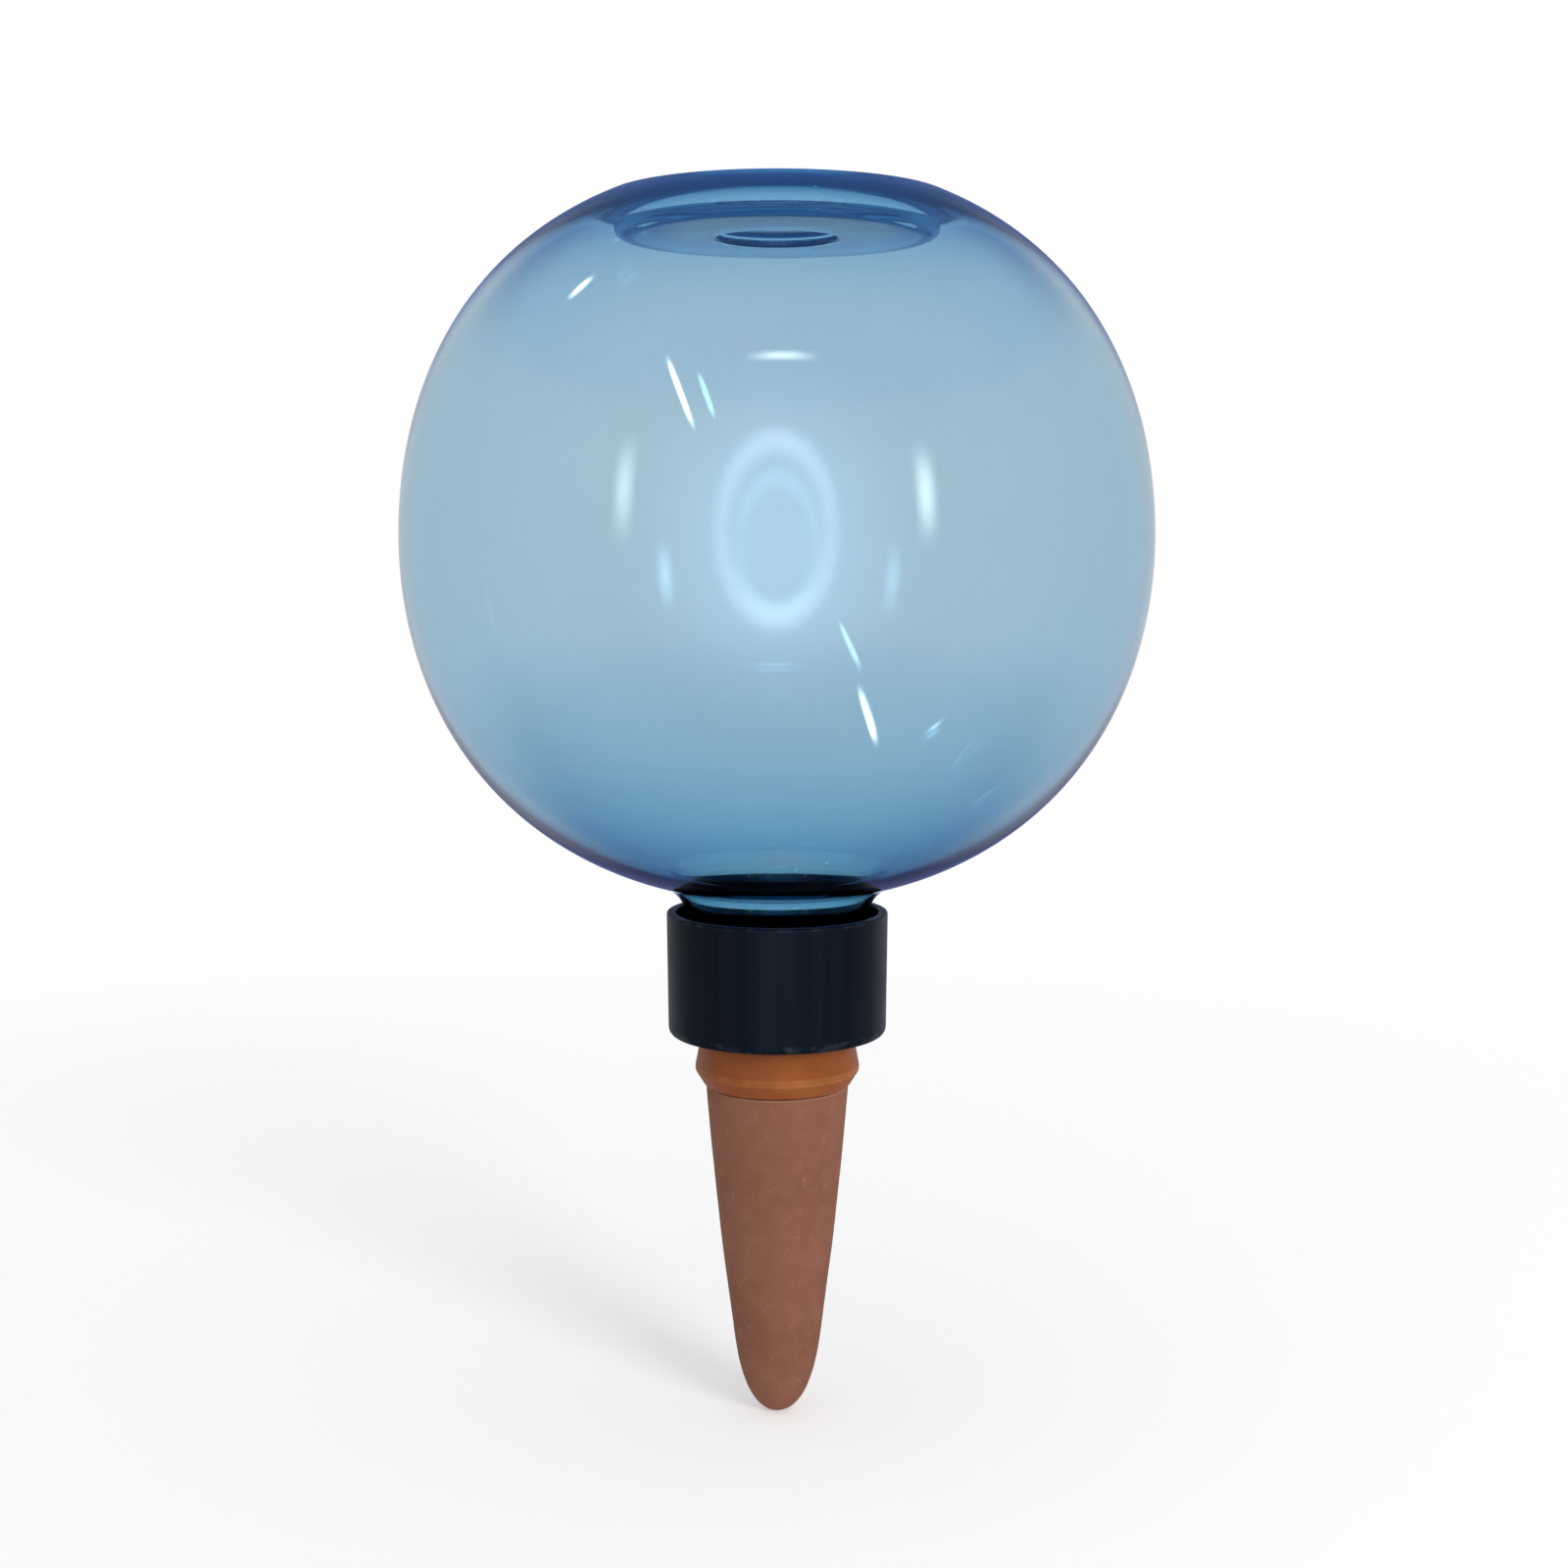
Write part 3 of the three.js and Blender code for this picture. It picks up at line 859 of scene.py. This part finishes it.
def soft_world():
    """Even white light from all round, and a darker room in what is mirrored."""
    world = bpy.data.worlds.new("soft_white")
    world.use_nodes = True
    nodes = world.node_tree.nodes
    link = world.node_tree.links.new
    place = nodes.new("ShaderNodeTexCoord")
    direction = nodes.new("ShaderNodeSeparateXYZ")
    link(place.outputs["Generated"], direction.inputs["Vector"])
    rise = ranged(nodes, link, direction.outputs["Z"], 0.0, 1.0, -1.0, 1.0)
    behind = ranged(nodes, link, direction.outputs["Y"], 0.0, 1.0, REAR_START, REAR_END)
    aside = nodes.new("ShaderNodeMath")
    aside.operation = "ABSOLUTE"
    link(direction.outputs["X"], aside.inputs[0])
    rear = banded(nodes, link, rise, REAR_SIDES)
    for bands, hold, end in REAR_ZONES:
        zone = ranged(nodes, link, aside.outputs["Value"], 1.0, 0.0, hold, end)
        rear = mixed(nodes, link, zone, rear, banded(nodes, link, rise, bands))
    room = mixed(nodes, link, behind, banded(nodes, link, rise, ROOM), rear)
    seen = mixed(nodes, link, mirrored(nodes, link), backdrop(nodes, link), room)
    strength = bounced(nodes, link, "Diffuse Depth", WORLD_STRENGTH, DIFFUSE_DIM)
    shade = nodes["Background"]
    link(seen, shade.inputs["Color"])
    link(strength, shade.inputs["Strength"])
    bpy.context.scene.world = world


def glow(name, strength, colour):
    """Light that shows only where it is mirrored, over what lies behind it."""
    material = bpy.data.materials.new(name)
    material.use_nodes = True
    nodes = material.node_tree.nodes
    link = material.node_tree.links.new
    nodes.remove(nodes["Principled BSDF"])
    clear = nodes.new("ShaderNodeBsdfTransparent")
    light = nodes.new("ShaderNodeEmission")
    light.inputs["Color"].default_value = (*colour, 1.0)
    fade = nodes.new("ShaderNodeAttribute")
    fade.attribute_name = "fade"
    bright = ranged(nodes, link, fade.outputs["Fac"], 0.0, strength, 0.0, 1.0)
    link(product(nodes, link, bright, mirrored(nodes, link)), light.inputs["Strength"])
    both = nodes.new("ShaderNodeAddShader")
    link(clear.outputs["BSDF"], both.inputs[0])
    link(light.outputs["Emission"], both.inputs[1])
    link(both.outputs["Shader"], nodes["Material Output"].inputs["Surface"])
    return material


def panel(name, rows, closed, strength, colour=WHITE):
    """Studio panel that is seen only as a reflection, from rows of points with a brightness of 0 to 1."""
    count = len(rows[0])
    points = [point * MM for row in rows for point, bright in row]
    fades = [bright for row in rows for point, bright in row]
    faces = []
    for i in range(len(rows) - 1):
        low = i * count
        high = low + count
        for k in range(count if closed else count - 1):
            n = (k + 1) % count
            faces.append((low + k, low + n, high + n, high + k))
    mesh = bpy.data.meshes.new(name)
    mesh.from_pydata(points, [], faces)
    mesh.attributes.new("fade", "FLOAT", "POINT").data.foreach_set("value", fades)
    mesh.materials.append(glow(name, strength, colour))
    light = bpy.data.objects.new(name, mesh)
    light.visible_camera = False
    light.visible_diffuse = False
    light.visible_shadow = False
    bpy.context.scene.collection.objects.link(light)


def soft(off):
    """Brightness across a panel: 1 at its middle and 0 at an offset of 1."""
    return math.cos(off * math.pi / 2) ** 2


def oval(reach, tall, distance, height, bright, sides=1.0):
    """Row of a panel on an upright oval, with its brightness and the sides' share of it."""
    row = []
    for k in range(CIRCLE_STEPS):
        turn = math.tau * k / CIRCLE_STEPS
        place = Vector((reach * math.cos(turn), -distance, height + tall * reach * math.sin(turn)))
        share = sides + (1 - sides) * math.sin(turn) ** 2
        row.append((place, bright * share))
    return row


def strip_lights():
    """Soft-edged strips that face the globe's centre."""
    centre = Vector((0, 0, globe_high.z - STAND_RISE))
    offs = [i / SOFT_STEPS for i in range(-SOFT_STEPS, SOFT_STEPS + 1)]
    for name, right, up, width, length, tilt, strength in STRIPS:
        right = math.radians(right)
        up = math.radians(up)
        tilt = math.radians(tilt)
        out = Vector((math.sin(right) * math.cos(up), -math.cos(right) * math.cos(up), math.sin(up)))
        across = Vector((math.cos(right), math.sin(right), 0))
        above = across.cross(out)
        long = (above * math.cos(tilt) + across * math.sin(tilt)) * length / 2
        wide = (across * math.cos(tilt) - above * math.sin(tilt)) * width / 2
        middle = centre + out * PANEL_DISTANCE
        rows = [
            [(middle + long * along + wide * aside, soft(along) * soft(aside)) for aside in offs]
            for along in offs
        ]
        panel(name, rows, False, strength)


def ring_light():
    """Oval ring round the lens, brighter above and below than at its sides."""
    rows = []
    for i in range(-SOFT_STEPS, SOFT_STEPS + 1):
        off = i / SOFT_STEPS
        reach = RING_RADIUS + off * RING_WIDTH / 2
        rows.append(oval(reach, RING_TALL, EYE_DISTANCE, RING_HEIGHT, soft(off), RING_SIDES))
    panel("ring_light", rows, True, RING_STRENGTH, RING_COLOUR)


def window_glow():
    """Wide glow behind the lens that fades towards its edge."""
    rows = []
    for i in range(GLOW_STEPS + 1):
        off = i / GLOW_STEPS
        reach = max(GLOW_START, GLOW_RADIUS * off)
        rows.append(oval(reach, GLOW_TALL, GLOW_DISTANCE, EYE_HEIGHT, soft(off)))
    panel("window_glow", rows, True, GLOW_STRENGTH, GLOW_COLOUR)


def key_light():
    """Soft lamp on the right of the camera."""
    data = bpy.data.lights.new("key_light", "AREA")
    data.shape = "DISK"
    data.size = KEY_SIZE
    data.energy = KEY_POWER
    lamp = bpy.data.objects.new("key_light", data)
    lamp.location = KEY_PLACE
    lamp.rotation_euler = (-Vector(KEY_PLACE)).to_track_quat("-Z", "Y").to_euler()
    lamp.visible_glossy = False
    lamp.visible_transmission = False
    bpy.context.scene.collection.objects.link(lamp)


def photo_camera():
    """Camera of the photograph."""
    data = bpy.data.cameras.new("photo_camera")
    data.sensor_width = SENSOR_WIDTH
    data.lens = LENS
    camera = bpy.data.objects.new("photo_camera", data)
    camera.location = (EYE_RIGHT * MM, -EYE_DISTANCE * MM, EYE_HEIGHT * MM)
    camera.rotation_euler = (math.radians(90 - EYE_PITCH), 0, 0)
    bpy.context.scene.collection.objects.link(camera)
    bpy.context.scene.camera = camera


pale_floor()
soft_world()
strip_lights()
ring_light()
window_glow()
key_light()
photo_camera()
cycles = bpy.context.scene.cycles
cycles.max_bounces = MAX_BOUNCES
cycles.glossy_bounces = GLOSSY_BOUNCES
cycles.transmission_bounces = MAX_BOUNCES
bpy.context.scene.view_settings.view_transform = "Standard"
